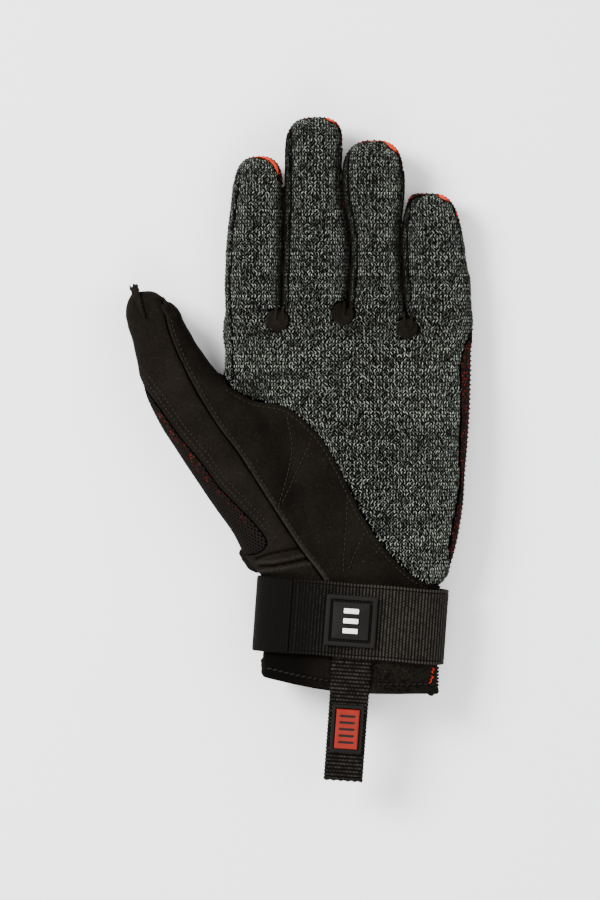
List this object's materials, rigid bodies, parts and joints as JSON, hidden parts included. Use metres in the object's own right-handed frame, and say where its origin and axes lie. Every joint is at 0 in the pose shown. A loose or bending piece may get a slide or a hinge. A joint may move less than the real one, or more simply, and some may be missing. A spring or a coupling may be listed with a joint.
{
  "type": "water ski glove",
  "caption": "Left-hand water ski glove with a knitted palm, suede thumb, mesh back, wrist strap with a moulded badge, and a pull tab.",
  "frame": {"origin": "on the surface that the glove lies on, under the middle of the palm", "axes": "+X to the little finger, +Y to the fingertips, +Z out of the palm, up from the surface"},
  "size_m": [0.1487, 0.2854, 0.0356],
  "materials": {
    "knit": "heathered cut-resistant knit, grey-green strands on black",
    "suede": "matt synthetic suede, brown-black",
    "mesh_cloth": "black air mesh over an orange layer",
    "orange_cloth": "orange knit layer",
    "webbing": "ribbed black webbing",
    "rubber": "matt moulded rubber",
    "white_rubber": "matt moulded rubber",
    "orange_rubber": "matt moulded rubber"
  },
  "bodies": {
    "root": {"palm_knit": "knit", "thenar_panel": "suede", "thumb_outer_panel": "suede", "thumb_mesh_gusset": "mesh_cloth", "cuff_front": "suede", "web_pad_index_middle": "suede", "web_pad_middle_ring": "suede", "web_pad_ring_little": "suede", "finger_side_strip_index_middle": "suede", "finger_side_strip_middle_ring": "suede", "finger_side_strip_ring_little": "suede", "fingertip_patch_index": "orange_cloth", "fingertip_patch_middle": "orange_cloth", "fingertip_patch_ring": "orange_cloth", "fingertip_patch_little": "orange_cloth", "back_panel": "mesh_cloth", "thumb_tip_fold": "suede", "wrist_strap": "webbing", "strap_elastic": "webbing", "size_badge": "rubber", "size_bar_1": "white_rubber", "size_bar_2": "white_rubber", "size_bar_3": "white_rubber", "pull_tab": "webbing", "tab_badge": "rubber", "tab_badge_insert": "orange_rubber"}
  },
  "joints": []
}
